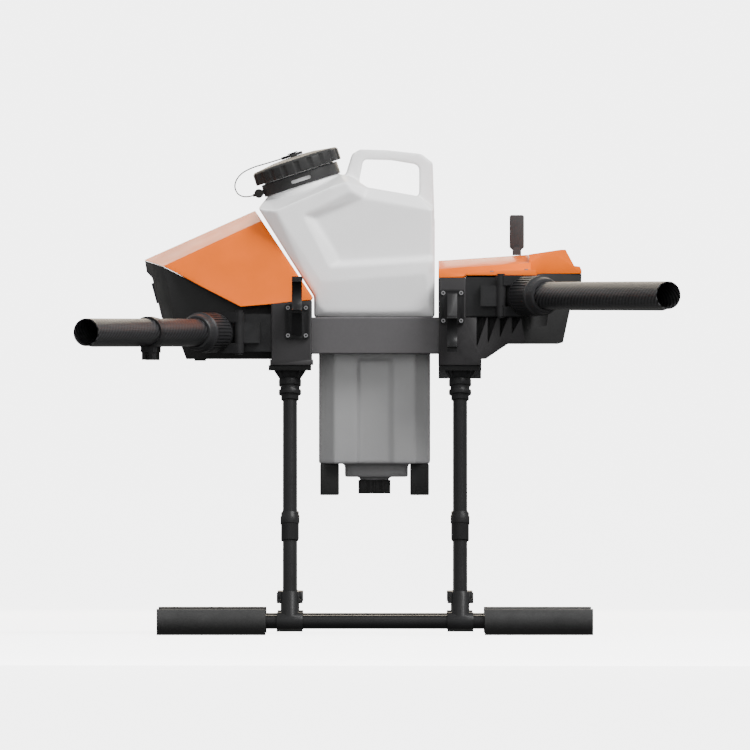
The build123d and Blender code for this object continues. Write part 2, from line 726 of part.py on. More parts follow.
def tank_form(inset):
    """The tank's outer form; with an inset, the space inside its wall."""
    with BuildPart() as form:
        with BuildSketch(Plane.XZ) as side_view:
            with BuildLine():
                Polyline(tank_outline, close=True)
            make_face()
            offset(amount=-inset, kind=Kind.INTERSECTION)
        extrude(amount=TANK_HALF_Y - inset - RIM, both=True)
        for wall in (1, -1):
            rim_plane = Plane.XZ.offset(wall * (TANK_HALF_Y - inset - RIM))
            extrude(rim_plane * side_view.sketch_local, amount=wall * RIM, taper=40)
        for wall in (1, -1):
            with BuildSketch(Plane.XZ.offset(wall * (TANK_HALF_Y - inset))):
                with BuildLine():
                    Polyline(panel_outline, close=True)
                make_face()
                if inset:
                    offset(amount=inset, kind=Kind.INTERSECTION)
            extrude(amount=-wall * PANEL_DEPTH, mode=Mode.SUBTRACT, taper=25)
        with BuildSketch(Plane.XY.offset(TANK_FLOOR_Z + inset)):
            with Locations(((TANK_LOW[0] + TANK_LOW[1]) / 2, 0)):
                lower = Rectangle(TANK_LOW[1] - TANK_LOW[0] - 2 * inset, 2 * (TANK_LOW_HALF_Y - inset))
            chamfer(lower.vertices(), 22 - inset * 0.6)
        extrude(amount=TANK_SEAT_Z - TANK_FLOOR_Z + 6)
        with BuildSketch(Plane.XY.offset(SUMP_FLOOR_Z + inset)):
            with Locations(((SUMP[0] + SUMP[1]) / 2, 0)):
                RectangleRounded(SUMP[1] - SUMP[0] - 2 * inset, 2 * (SUMP_HALF_Y - inset), 12)
        extrude(amount=TANK_FLOOR_Z - SUMP_FLOOR_Z + 1)
        for wall in (1, -1):
            depth = TANK_LOW_HALF_Y - inset
            with BuildSketch(Plane.XZ.offset(wall * depth)):
                with Locations((CHANNEL_X, 345)):
                    RectangleRounded(CHANNEL_WIDTH + 2 * inset, 160 + 2 * inset, 8)
            extrude(amount=-wall * 5, mode=Mode.SUBTRACT)
    return form.part


neck_tilt = math.radians(NECK_TILT)
NECK = Plane(
    origin=(NECK_X, 0, NECK_Z), x_dir=(math.cos(neck_tilt), 0, math.sin(neck_tilt)),
    z_dir=(-math.sin(neck_tilt), 0, math.cos(neck_tilt)),
)
SPOUT_R = 52.0
handle_outer = [
    (-49, 659), (-36.5, 696), (-24.7, 702.6), (14.6, 701.4), (63.6, 696), (80.5, 683.4), (83, 600),
    (40, 610), (-40, 640),
]
handle_hole = [
    (-28, 658), (-20.5, 686), (-17.3, 688), (20, 687), (56, 681), (60.8, 675.8), (60.8, 632), (30, 636),
    (-14, 645),
]
HANDLE_HALF_Y = 15.0
SPOUT_TOP = 12.0  # above the foot of the lid
OUTLET_R = 20.5
OUTLET_BORE_R = 16.0
OUTLET_Z = 212.0

outer_form = tank_form(0)
inner_form = tank_form(TANK_WALL)

# One blow moulding in four lengths: the body over the beams, the bin under them, spout and handle.
with BuildPart() as tank_shell:
    add(outer_form)
    add(inner_form, mode=Mode.SUBTRACT)
    with BuildSketch(NECK.offset(-60)):
        Circle(SPOUT_R - 4)
    extrude(amount=80, mode=Mode.SUBTRACT)
    with BuildSketch(Plane.XY.offset(OUTLET_Z)):
        with Locations((OUTLET_X, 0)):
            Circle(OUTLET_R)
    extrude(amount=SUMP_FLOOR_Z - OUTLET_Z + 1)
    with BuildSketch(Plane.XY.offset(OUTLET_Z - 7)):
        with Locations((OUTLET_X, 0)):
            Circle(OUTLET_BORE_R)
    extrude(amount=60, mode=Mode.SUBTRACT)
seat = Plane.XY.offset(TANK_SEAT_Z)
save(tank_shell.part.split(seat, Keep.TOP), "tank_upper")
save(tank_shell.part.split(seat, Keep.BOTTOM), "tank_lower")

with BuildPart() as tank_neck:
    with BuildSketch(NECK.offset(-34)):
        Circle(62)
    with BuildSketch(NECK.offset(-19.5)):
        Circle(54)
    loft()
    with BuildSketch(NECK.offset(-30)):
        Circle(SPOUT_R)
    extrude(amount=30 + SPOUT_TOP)
    with BuildSketch(NECK.offset(-60)):
        Circle(SPOUT_R - 4)
    extrude(amount=80, mode=Mode.SUBTRACT)
    add(outer_form, mode=Mode.SUBTRACT)
save(tank_neck.part, "tank_neck")

with BuildPart() as tank_handle:
    with BuildSketch(Plane.XZ.offset(-HANDLE_HALF_Y)):
        with BuildLine():
            Polyline(handle_outer, close=True)
        make_face()
        with BuildLine():
            Polyline(handle_hole, close=True)
        make_face(mode=Mode.SUBTRACT)
    extrude(amount=2 * HANDLE_HALF_Y)
    add(outer_form, mode=Mode.SUBTRACT)
    add(tank_neck.part, mode=Mode.SUBTRACT)
save(tank_handle.part, "tank_handle")

with BuildPart() as tank_feet:
    for foot_x in (-69.0, 61.4):
        for foot_y in (-80, 80):
            with BuildSketch(Plane.XY.offset(201.6)):
                with Locations((foot_x, foot_y)):
                    RectangleRounded(27.4, 32, 3)
            extrude(amount=TANK_FLOOR_Z - 201.6)
save(tank_feet.part, "tank_feet")

with BuildPart() as neck_ring:
    with BuildSketch(NECK.offset(-19)):
        Circle(57.5)
        Circle(SPOUT_R + FIT, mode=Mode.SUBTRACT)
    extrude(amount=17.6)
    outer_rims = neck_ring.edges().filter_by(GeomType.CIRCLE).filter_by(lambda edge: edge.radius > 57)
    chamfer(outer_rims, 0.8)
    with BuildSketch(Plane(origin=NECK.origin - NECK.z_dir * 11, x_dir=NECK.x_dir, z_dir=(0, -1, 0))):
        SlotOverall(30, 5)
    extrude(amount=80, both=True, mode=Mode.SUBTRACT)
save(neck_ring.part, "neck_ring")

LID_TOP = 19.0
LID_DOME = 24.2
GRIPS = 20
with BuildPart() as lid:
    with BuildSketch(Plane(NECK.origin, x_dir=NECK.x_dir, z_dir=(0, -1, 0))):
        with BuildLine():
            Polyline(
                [
                    (SPOUT_R + 1, 0), (LID_R - 1, 0), (LID_R, 1), (LID_R, LID_TOP - 3), (LID_R - 3, LID_TOP),
                    (50, LID_TOP + 1.5), (30, 23.4), (15, LID_DOME), (5, LID_DOME), (5, 29), (7.5, 29),
                    (7.5, 30.4), (0, 30.4), (0, 15.4), (SPOUT_R + 1, 15.4),
                ],
                close=True,
            )
        make_face()
    revolve(axis=Axis(NECK.origin, NECK.z_dir))
    with BuildSketch(NECK.offset(-1)):
        with PolarLocations(LID_R + 5.6, GRIPS):
            Circle(7.4)
    extrude(amount=LID_TOP - 1.5, mode=Mode.SUBTRACT)
save(lid.part, "lid")

with BuildPart() as lid_seal:
    with BuildSketch(NECK.offset(12.2)):
        Circle(SPOUT_R)
        Circle(SPOUT_R - 5, mode=Mode.SUBTRACT)
    extrude(amount=3.2)
save(lid_seal.part, "lid_seal")

with BuildPart() as tether_swivel:
    with BuildSketch(NECK.offset(LID_DOME + 0.4)):
        Circle(14)
        with Locations((-14, 0)):
            Rectangle(8, 6)
        Circle(5 + RUNNING, mode=Mode.SUBTRACT)
    extrude(amount=4)
save(tether_swivel.part, "tether_swivel")

KNOB = (-171.6, 638.7)
KNOB_R = 6.6
tether_route = [
    (-139.0, 688.9), (-159.0, 682.6), (-180.0, 676.9), (-198.6, 667.4), (-207.8, 652.0), (-203.4, 637.6),
    (-190.5, 632.6), (-180.2, 635.6),
]
TETHER_R = 0.95


def corner_radii(points):
    """The arc radius at each inner point: 0.45 of the shorter run over the tangent of half the turn."""
    radii = []
    for before, here, after in zip(points, points[1:], points[2:]):
        arriving, leaving = Vector(*here) - Vector(*before), Vector(*after) - Vector(*here)
        turn = math.radians(arriving.get_angle(leaving))
        radii.append(0.45 * min(arriving.length, leaving.length) / math.tan(turn / 2))
    return radii


tether_points = [(x, 0, z) for x, z in tether_route]
tether_radii = corner_radii(tether_points)
print("tether radii", [round(radius, 1) for radius in tether_radii])
with BuildPart() as tether:
    with BuildLine():
        tether_path = FilletPolyline(*tether_points, radius=tether_radii)
    with BuildSketch(Plane(tether_path @ 0, z_dir=tether_path % 0)):
        Circle(TETHER_R)
    sweep(path=tether_path)
print("tether length", round(tether_path.length, 1))
plain_volume = math.pi * TETHER_R**2 * tether_path.length
print("tether volume over section times length", round(tether.part.volume / plain_volume, 3))
save(tether.part, "tether")

with BuildPart() as tether_knob:
    with BuildSketch(Plane.XZ.offset(-6)):
        with Locations(KNOB):
            Circle(KNOB_R)
        with Locations((KNOB[0] + 3.6, KNOB[1] + 1.2)):
            Rectangle(7, 7, rotation=NECK_TILT)
    extrude(amount=12)
    last = Vector(*tether_points[-1])
    before = Vector(*tether_points[-2])
    with BuildSketch(Plane(last + (last - before).normalized() * 0.1, z_dir=last - before)):
        Circle(2.2)
    extrude(amount=5)
save(tether_knob.part, "tether_knob")

DRAIN_CAP_R = 23.5
DRAIN_CAP_Z = 203.6
DRAIN_CAP_H = 20.0
FLUTES = 12
with BuildPart() as drain_cap:
    with BuildSketch(Plane.XY.offset(DRAIN_CAP_Z)):
        with Locations((OUTLET_X, 0)):
            Circle(DRAIN_CAP_R)
    extrude(amount=DRAIN_CAP_H)
    with BuildSketch(Plane.XY.offset(DRAIN_CAP_Z)):
        with Locations((OUTLET_X, 0)):
            with PolarLocations(DRAIN_CAP_R + 1.1, FLUTES):
                Circle(3)
    extrude(amount=DRAIN_CAP_H, mode=Mode.SUBTRACT)
    with BuildSketch(Plane.XY.offset(DRAIN_CAP_Z + 5)):
        with Locations((OUTLET_X, 0)):
            Circle(OUTLET_R + GAP)
    extrude(amount=DRAIN_CAP_H, mode=Mode.SUBTRACT)
save(drain_cap.part, "drain_cap")

with BuildPart() as drain_gasket:
    with BuildSketch(Plane.XY.offset(209)):
        with Locations((OUTLET_X, 0)):
            Circle(20)
            Circle(14, mode=Mode.SUBTRACT)
    extrude(amount=2.6)
save(drain_gasket.part, "drain_gasket")

# ---------------------------------------------------------------- antenna
ANTENNA_X = 202.4
ANTENNA_PIVOT_Z = 555.5
ANTENNA_TOP_Z = 607.6
with BuildPart() as antenna_base:
    with BuildSketch(Plane.XZ.offset(-7)):
        with Locations((ANTENNA_X, 552.3)):
            Rectangle(12.6, 6.4)
        with Locations((ANTENNA_X, ANTENNA_PIVOT_Z)):
            Circle(6.3)
    extrude(amount=14)
    with BuildSketch(Plane.XZ.offset(-4.2)):
        with Locations((ANTENNA_X, ANTENNA_PIVOT_Z)):
            Circle(30)
    extrude(amount=8.4, mode=Mode.SUBTRACT)
    with BuildSketch(Plane.XZ.offset(-4.2)):
        with Locations((ANTENNA_X, 549.9)):
            Rectangle(12.6, 1.6)
    extrude(amount=8.4)
    with Locations((ANTENNA_X, 0, ANTENNA_PIVOT_Z)):
        Cylinder(1.5, 14, rotation=(90, 0, 0))
save(antenna_base.part, "antenna_base")

with BuildPart() as antenna_paddle:
    with BuildSketch(Plane.XZ.offset(-4)):
        with BuildLine():
            Polyline(
                [
                    (ANTENNA_X - 4.5, ANTENNA_PIVOT_Z), (ANTENNA_X - 6.3, ANTENNA_PIVOT_Z + 1),
                    (ANTENNA_X - 10.5, ANTENNA_PIVOT_Z + 5), (ANTENNA_X - 10.5, ANTENNA_TOP_Z - 2),
                    (ANTENNA_X - 8.5, ANTENNA_TOP_Z), (ANTENNA_X + 8.5, ANTENNA_TOP_Z),
                    (ANTENNA_X + 10.5, ANTENNA_TOP_Z - 2), (ANTENNA_X + 10.5, ANTENNA_PIVOT_Z + 5),
                    (ANTENNA_X + 6.3, ANTENNA_PIVOT_Z + 1), (ANTENNA_X + 4.5, ANTENNA_PIVOT_Z),
                ],
                close=True,
            )
        make_face()
        with Locations((ANTENNA_X, ANTENNA_PIVOT_Z)):
            Circle(4.5)
        with Locations((ANTENNA_X, ANTENNA_PIVOT_Z)):
            Circle(1.5 + RUNNING, mode=Mode.SUBTRACT)
    extrude(amount=8)
save(antenna_paddle.part, "antenna_paddle")

# ---------------------------------------------------------------- pump, electronics and camera
PUMP_CENTRE = (119.75, 0, 384.3)
POWER_X = 190.0
with BuildPart() as pump_housing:
    with Locations(PUMP_CENTRE):
        Box(61.7, 96, 28)
    with Locations((CROSS_TUBE_XS[1], 0, 405)):
        Box(24, 60, 14)
    with Locations(PUMP_CENTRE):
        Cylinder(17, 90, rotation=(90, 0, 0), mode=Mode.SUBTRACT)
save(pump_housing.part, "pump_housing")

with BuildPart() as pump_motor:
    with Locations(PUMP_CENTRE):
        Cylinder(11.5, 88, rotation=(90, 0, 0))
save(pump_motor.part, "pump_motor")

with BuildPart() as avionics_deck:
    with Locations((-222, 0, 432)):
        Box(110, 150, 2.5)
    with Locations((-222, 0, 416)):
        with GridLocations(90, 120, 2, 2):
            Cylinder(4, 29.8)
save(avionics_deck.part, "avionics_deck")

with BuildPart() as flight_controller:
    with Locations((-215, 0, 444.35)):
        Box(80, 54, 22)
    fillet(flight_controller.edges().filter_by(Axis.Z), 4)
save(flight_controller.part, "flight_controller")

with BuildPart() as power_board:
    with Locations((POWER_X, 0, 428)):
        Box(90, 120, 3)
    with Locations((POWER_X, 0, 432)):
        with GridLocations(60, 80, 2, 2):
            Box(18, 22, 5)
    with Locations((POWER_X, 0, 424.8)):
        with GridLocations(66, 90, 2, 2):
            Cylinder(3, 3.4)
save(power_board.part, "power_board")

with BuildPart() as battery_connector:
    with Locations((POWER_X, 0, 442)):
        Box(30, 28, 25)
    with Locations((POWER_X, 0, 452)):
        with GridLocations(0, 13, 1, 2):
            Cylinder(4.5, 10, mode=Mode.SUBTRACT)
save(battery_connector.part, "battery_connector")

with BuildPart() as nose_camera:
    with Locations((-312, 0, 496.8)):
        Box(24, 30, 30, rotation=(0, -15, 0))
save(nose_camera.part, "nose_camera")
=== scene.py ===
import json
import math

import bmesh
import bpy
from mathutils import Matrix, Vector


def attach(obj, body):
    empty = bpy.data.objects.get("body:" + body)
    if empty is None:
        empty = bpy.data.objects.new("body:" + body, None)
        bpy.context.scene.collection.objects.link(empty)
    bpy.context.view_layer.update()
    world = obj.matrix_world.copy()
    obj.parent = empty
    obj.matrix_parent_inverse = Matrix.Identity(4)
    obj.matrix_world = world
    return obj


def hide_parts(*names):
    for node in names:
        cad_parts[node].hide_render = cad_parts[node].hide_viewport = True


# The looks of a folding spray drone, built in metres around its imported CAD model. The nose points
# along -X, the left side is -Y and the ground is Z 0.

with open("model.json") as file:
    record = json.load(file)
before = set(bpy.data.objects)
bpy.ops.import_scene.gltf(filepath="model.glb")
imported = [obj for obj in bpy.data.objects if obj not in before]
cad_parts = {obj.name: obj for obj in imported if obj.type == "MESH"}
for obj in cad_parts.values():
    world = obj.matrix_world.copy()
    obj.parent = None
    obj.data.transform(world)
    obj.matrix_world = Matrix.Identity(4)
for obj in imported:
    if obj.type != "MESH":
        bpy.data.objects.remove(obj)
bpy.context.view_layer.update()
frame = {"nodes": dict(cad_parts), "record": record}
MM = 0.001
SCENE = bpy.context.scene


# ---------------------------------------------------------------- camera, light and stage
def look_at(item, target):
    item.rotation_euler = (Vector(target) - item.location).to_track_quat("-Z", "Y").to_euler()


FRAME_WIDTH = 1.0875  # metres across the picture, at the craft
CAMERA_AIM = Vector((-0.0032, 0, 0.3755))
SKY_SEEN, FLOOR_SEEN = 5, 4.6  # how bright the backdrop and the floor are


def add_camera():
    """A long lens square to the left side, so that the view is almost without perspective."""
    data = bpy.data.cameras.new("camera")
    data.lens = 1600
    data.sensor_width = 36
    data.clip_end = 200
    camera = bpy.data.objects.new("camera", data)
    SCENE.collection.objects.link(camera)
    camera.location = CAMERA_AIM + Vector((0, -FRAME_WIDTH * data.lens / data.sensor_width, 0))
    look_at(camera, CAMERA_AIM)
    SCENE.camera = camera


def add_light(name, place, size, power, mirrored=True, tint=(1, 1, 1)):
    data = bpy.data.lights.new(name, "AREA")
    data.color = tint
    data.shape = "RECTANGLE"
    data.size, data.size_y = size
    data.energy = power
    lamp = bpy.data.objects.new(name, data)
    SCENE.collection.objects.link(lamp)
    lamp.location = place
    look_at(lamp, (0, 0, 0.35))
    lamp.visible_camera = False
    lamp.visible_glossy = mirrored


def add_stage():
    """A white floor that runs out of sight, under an even white sky."""
    mesh = bpy.data.meshes.new("floor")
    reach = 60
    corners = [(-reach, -reach, 0), (reach, -reach, 0), (reach, reach, 0), (-reach, reach, 0)]
    mesh.from_pydata(corners, [], [(0, 1, 2, 3)])
    floor = bpy.data.objects.new("floor", mesh)
    SCENE.collection.objects.link(floor)
    paint = bpy.data.materials.new("floor_white")
    paint.use_nodes = True
    shader = paint.node_tree.nodes["Principled BSDF"]
    shader.inputs["Base Color"].default_value = (0.6, 0.6, 0.6, 1)
    shader.inputs["Roughness"].default_value = 0.9
    shader.inputs["Emission Color"].default_value = (1, 1, 1, 1)
    shader.inputs["Emission Strength"].default_value = FLOOR_SEEN
    mesh.materials.append(paint)
    floor.visible_diffuse = False
    floor.visible_glossy = False
    world = bpy.data.worlds.new("studio")
    world.use_nodes = True
    tree = world.node_tree
    tree.nodes["Background"].inputs["Color"].default_value = (1, 1, 1, 1)
    direction = tree.nodes.new("ShaderNodeTexCoord")
    split = tree.nodes.new("ShaderNodeSeparateXYZ")
    dome = tree.nodes.new("ShaderNodeMapRange")
    for socket, number in (("From Min", -0.6), ("From Max", 0.9), ("To Min", 0.12), ("To Max", 0.9)):
        dome.inputs[socket].default_value = number
    seen = tree.nodes.new("ShaderNodeLightPath")
    level = tree.nodes.new("ShaderNodeMix")
    level.inputs[3].default_value = SKY_SEEN
    tree.links.new(direction.outputs["Generated"], split.inputs[0])
    tree.links.new(split.outputs["Z"], dome.inputs["Value"])
    tree.links.new(seen.outputs["Is Camera Ray"], level.inputs[0])
    tree.links.new(dome.outputs["Result"], level.inputs[2])
    tree.links.new(level.outputs[0], tree.nodes["Background"].inputs["Strength"])
    SCENE.world = world


# ---------------------------------------------------------------- materials
class Paint:
    """A node material in the making: short calls add a node and link it."""

    def __init__(self, name):
        self.material = bpy.data.materials.new(name)
        self.material.use_nodes = True
        self.tree = self.material.node_tree
        self.shader = self.tree.nodes["Principled BSDF"]

    def node(self, kind, **settings):
        made = self.tree.nodes.new(kind)
        for key, value in settings.items():
            setattr(made, key, value)
        return made

    def link(self, out, into):
        self.tree.links.new(out, into)

    def math(self, operation, a, b=None):
        made = self.node("ShaderNodeMath", operation=operation)
        for index, value in enumerate((a, b)):
            if value is None:
                continue
            if isinstance(value, (int, float)):
                made.inputs[index].default_value = value
            else:
                self.link(value, made.inputs[index])
        return made.outputs[0]

    def place(self):
        return self.node("ShaderNodeTexCoord").outputs["Object"]

    def noise(self, scale, detail=3, vector=None):
        made = self.node("ShaderNodeTexNoise")
        made.inputs["Scale"].default_value = scale
        made.inputs["Detail"].default_value = detail
        self.link(vector or self.place(), made.inputs["Vector"])
        return made.outputs["Fac"]

    def span(self, value, low, high, to_low=0.0, to_high=1.0):
        made = self.node("ShaderNodeMapRange")
        for socket, number in (("From Min", low), ("From Max", high), ("To Min", to_low), ("To Max", to_high)):
            made.inputs[socket].default_value = number
        self.link(value, made.inputs["Value"])
        return made.outputs["Result"]

    def mix(self, factor, a, b):
        made = self.node("ShaderNodeMix", data_type="RGBA")
        if isinstance(factor, (int, float)):
            made.inputs["Factor"].default_value = factor
        else:
            self.link(factor, made.inputs["Factor"])
        for socket, colour in ((made.inputs[6], a), (made.inputs[7], b)):
            if isinstance(colour, tuple):
                socket.default_value = (*colour, 1)
            else:
                self.link(colour, socket)
        return made.outputs[2]

    def bump(self, height, distance, strength=1.0):
        made = self.node("ShaderNodeBump")
        made.inputs["Distance"].default_value = distance
        made.inputs["Strength"].default_value = strength
        self.link(height, made.inputs["Height"])
        self.link(made.outputs["Normal"], self.shader.inputs["Normal"])

    def colour(self, value):
        self.link(value, self.shader.inputs["Base Color"])

    def roughness(self, value):
        self.link(value, self.shader.inputs["Roughness"])


def shade(colour, factor):
    return tuple(min(1.0, channel * factor) for channel in colour)


def plastic(name, colour, rough=0.45, grain=0.00006, grain_scale=1400, specular=0.18, wear=0.25, coat=0.0):
    """Moulded plastic: faint cloudy colour, a fine spark-eroded grain and paler, rubbed edges."""
    paint = Paint(name)
    cloud = paint.noise(9, 4)
    base = paint.mix(paint.span(cloud, 0.35, 0.65), shade(colour, 0.9), shade(colour, 1.1))
    edge = paint.span(paint.node("ShaderNodeNewGeometry").outputs["Pointiness"], 0.52, 0.6)
    patchy = paint.math("MULTIPLY", edge, paint.span(paint.noise(60, 4), 0.35, 0.6, 0, wear))
    paint.colour(paint.mix(patchy, base, shade(colour, 2.2)))
    paint.roughness(paint.span(paint.noise(40, 3), 0.3, 0.7, rough - 0.06, rough + 0.06))
    paint.bump(paint.noise(grain_scale, 2), grain)
    paint.shader.inputs["Specular IOR Level"].default_value = specular
    paint.shader.inputs["Coat Weight"].default_value = coat
    paint.shader.inputs["Coat Roughness"].default_value = 0.15
    return paint.material


def tank_plastic(name):
    """Blow-moulded natural polyethylene: soft, slightly waxy, with a faint flow texture, and its lower part
    painted darker as shade.
    """
    paint = Paint(name)
    cloud = paint.noise(6, 3)
    height = paint.node("ShaderNodeSeparateXYZ")
    paint.link(paint.place(), height.inputs[0])
    upper = paint.mix(paint.span(cloud, 0.35, 0.65), (0.82, 0.82, 0.825), (0.88, 0.88, 0.88))
    # The moulding is one colour: the dark grey from about Z 0.44 to 0.475 m downwards is a painted shade under
    # the beams.
    painted_shade_lower = paint.mix(paint.span(cloud, 0.35, 0.65), (0.245, 0.245, 0.25), (0.29, 0.29, 0.29))
    paint.colour(paint.mix(paint.span(height.outputs["Z"], 0.44, 0.475), painted_shade_lower, upper))
    paint.roughness(paint.span(paint.noise(25, 3), 0.3, 0.7, 0.36, 0.46))
    paint.bump(paint.noise(420, 3), 0.00012)
    paint.shader.inputs["Subsurface Weight"].default_value = 0.12
    paint.shader.inputs["Subsurface Radius"].default_value = (0.01, 0.01, 0.01)
    paint.shader.inputs["Subsurface Scale"].default_value = 0.3
    return paint.material


def carbon(name, origin, heading, tow=0.0025, radius=0.020):
    """Twill-woven carbon round a tube whose axis passes through origin at the given heading."""
    paint = Paint(name)
    shift = paint.node("ShaderNodeVectorMath", operation="SUBTRACT")
    paint.link(paint.place(), shift.inputs[0])
    shift.inputs[1].default_value = origin
    turn = paint.node("ShaderNodeMapping")
    turn.inputs["Rotation"].default_value = (0, 0, -heading)
    paint.link(shift.outputs[0], turn.inputs["Vector"])
    split = paint.node("ShaderNodeSeparateXYZ")
    paint.link(turn.outputs[0], split.inputs[0])
    along = paint.math("DIVIDE", split.outputs["X"], tow)
    angle = paint.math("ARCTAN2", split.outputs["Z"], split.outputs["Y"])
    around = paint.math("MULTIPLY", angle, round(2 * math.pi * radius / tow / 4) * 4 / (2 * math.pi))
    cell = paint.math("ADD", paint.math("FLOOR", along), paint.math("FLOOR", around))
    twill = paint.math("FLOORED_MODULO", cell, 4.0)
    warp_up = paint.math("LESS_THAN", twill, 1.5)
    crown_along = paint.math("ABSOLUTE", paint.math("SINE", paint.math("MULTIPLY", along, math.pi)))
    crown_around = paint.math("ABSOLUTE", paint.math("SINE", paint.math("MULTIPLY", around, math.pi)))
    # The twill pattern, its warp-up tows painted lighter than the weft-up ones: a painted sheen of the fibres'
    # direction.
    painted_sheen_weave = paint.mix(warp_up, (0.002, 0.002, 0.0022), (0.04, 0.04, 0.042))
    paint.colour(paint.mix(paint.span(crown_along, 0.0, 0.5, 0.5, 0.0), painted_sheen_weave, (0.004, 0.004, 0.004)))
    paint.roughness(paint.span(warp_up, 0, 1, 0.34, 0.46))
    relief = paint.math("ADD", crown_along, paint.math("MULTIPLY", crown_around, 0.6))
    paint.bump(relief, 0.0001, 0.8)
    paint.shader.inputs["Specular IOR Level"].default_value = 0.18
    paint.shader.inputs["Coat Weight"].default_value = 0.04
    paint.shader.inputs["Coat Roughness"].default_value = 0.2
    return paint.material


def foam(name):
    """Closed-cell foam: a matt skin broken by tiny cells."""
    paint = Paint(name)
    cells = paint.node("ShaderNodeTexVoronoi")
    cells.inputs["Scale"].default_value = 700
    paint.link(paint.place(), cells.inputs["Vector"])
    tone = paint.span(cells.outputs["Distance"], 0.1, 0.7)
    paint.colour(paint.mix(tone, (0.008, 0.008, 0.008), (0.018, 0.018, 0.018)))
    paint.roughness(paint.span(paint.noise(30, 3), 0.3, 0.7, 0.7, 0.85))
    paint.bump(cells.outputs["Distance"], 0.0003, 0.7)
    paint.shader.inputs["Sheen Weight"].default_value = 0.05
    return paint.material


def metal(name, colour, rough=0.35, anodised=False):
    """Machined or anodised metal with a faint, fine haze."""
    paint = Paint(name)
    haze = paint.noise(350, 4)
    spread = 0.03 if anodised else 0.1
    paint.colour(paint.mix(paint.span(haze, 0.3, 0.7), shade(colour, 1 - spread), shade(colour, 1 + spread)))
    paint.roughness(paint.span(paint.noise(90, 3), 0.3, 0.7, rough - 0.07, rough + 0.07))
    paint.bump(haze, 0.000006 if anodised else 0.00003)
    paint.shader.inputs["Metallic"].default_value = 0.35 if anodised else 0.9
    return paint.material


SCREW_RIM_Y = 0.1917  # just under the outer faces of the screw heads


def socket_screw(name):
    """Zinc-plated socket heads of the arm clips: bright rims round a hexagon socket whose dark is painted shade.
    """
    paint = Paint(name)
    across = paint.node("ShaderNodeSeparateXYZ")
    paint.link(paint.place(), across.inputs[0])
    rim = paint.math("GREATER_THAN", paint.math("ABSOLUTE", across.outputs["Y"]), SCREW_RIM_Y)
    haze = paint.span(paint.noise(350, 4), 0.3, 0.7, 0.3, 0.42)
    bright = paint.mix(haze, (0.3, 0.3, 0.31), (0.6, 0.6, 0.61))
    # Below the rims, the hexagon socket included, the zinc is painted near-black: painted shade in the recess.
    paint.colour(paint.mix(rim, (0.008, 0.008, 0.008), bright))
    paint.roughness(haze)
    paint.link(paint.math("MULTIPLY", rim, 0.9), paint.shader.inputs["Metallic"])
    return paint.material


ORANGE = (0.74, 0.125, 0.0)


def make_materials():
    return {
        "grey_alloy": metal("grey_alloy", (0.085, 0.082, 0.085), 0.5, anodised=True),
        "grey_plastic": plastic("grey_plastic", (0.07, 0.07, 0.072), 0.5),
        "bracket_plastic": plastic("bracket_plastic", (0.024, 0.023, 0.024), 0.5, specular=0.2, wear=0.2),
        "orange_cover": plastic("orange_cover", ORANGE, 0.36, grain=0.00002, specular=0.12,
                                wear=0.0, coat=0.25),
        "black_shell": plastic("black_shell", (0.02, 0.02, 0.02), 0.5),
        "black_casting": plastic("black_casting", (0.014, 0.014, 0.0145), 0.45),
        "collar_plastic": plastic("collar_plastic", (0.020, 0.020, 0.021), 0.42),
        "clip_plastic": plastic("clip_plastic", (0.012, 0.012, 0.0125), 0.38),
        "steel": metal("steel", (0.42, 0.42, 0.43), 0.32),
        "leg_fittings": plastic("leg_fittings", (0.013, 0.013, 0.0135), 0.4),
        "carbon_tube": plastic("carbon_tube", (0.012, 0.012, 0.0125), 0.3, grain=0.00004,
                               grain_scale=2500, wear=0.0, coat=0.1),
        "foam": foam("foam"),
        "soft_rubber": plastic("soft_rubber", (0.012, 0.012, 0.012), 0.7, specular=0.3),
        "tank_polyethylene": tank_plastic("tank_polyethylene"),
        "lid_plastic": plastic("lid_plastic", (0.022, 0.022, 0.022), 0.42),
        "tether_cord": plastic("tether_cord", (0.015, 0.015, 0.015), 0.5),
        "antenna_plastic": plastic("antenna_plastic", (0.035, 0.035, 0.036), 0.5),
        "deck_plate": plastic("deck_plate", (0.02, 0.02, 0.02), 0.4),
        "electronics": plastic("electronics", (0.03, 0.03, 0.034), 0.5),
        "circuit_board": plastic("circuit_board", (0.01, 0.07, 0.03), 0.35),
        "connector": plastic("connector", (0.55, 0.3, 0.01), 0.4),
    }


# ---------------------------------------------------------------- mesh helpers
def make_object(name, mesh):
    made = bpy.data.objects.new(name, mesh)
    SCENE.collection.objects.link(made)
    return made


def applied(thing):
    """The object's mesh with its modifiers applied, and the modifiers gone."""
    graph = bpy.context.evaluated_depsgraph_get()
    mesh = bpy.data.meshes.new_from_object(thing.evaluated_get(graph))
    thing.modifiers.clear()
    thing.data = mesh
    return thing


def smooth_by_angle(thing, degrees=32):
    thing.data.shade_smooth()
    thing.data.set_sharp_from_angle(angle=math.radians(degrees))


def softened(node, width=0.0007, segments=2, limit=38):
    """A copy of a CAD node with its hard edges rounded over."""
    mesh = bpy.data.meshes.new(f"{node}_shape")
    cage = bmesh.new()
    cage.from_mesh(frame["nodes"][node].data)
    bmesh.ops.remove_doubles(cage, verts=cage.verts, dist=1e-6)
    bmesh.ops.dissolve_limit(cage, angle_limit=math.radians(0.6), verts=cage.verts, edges=cage.edges)
    cage.to_mesh(mesh)
    cage.free()
    mesh.materials.clear()
    piece = make_object(f"{node}_skin", mesh)
    bevel = piece.modifiers.new("round", "BEVEL")
    bevel.width = width
    bevel.segments = segments
    bevel.limit_method = "ANGLE"
    bevel.angle_limit = math.radians(limit)
    bevel.use_clamp_overlap = True
    applied(piece)
    smooth_by_angle(piece)
    return piece


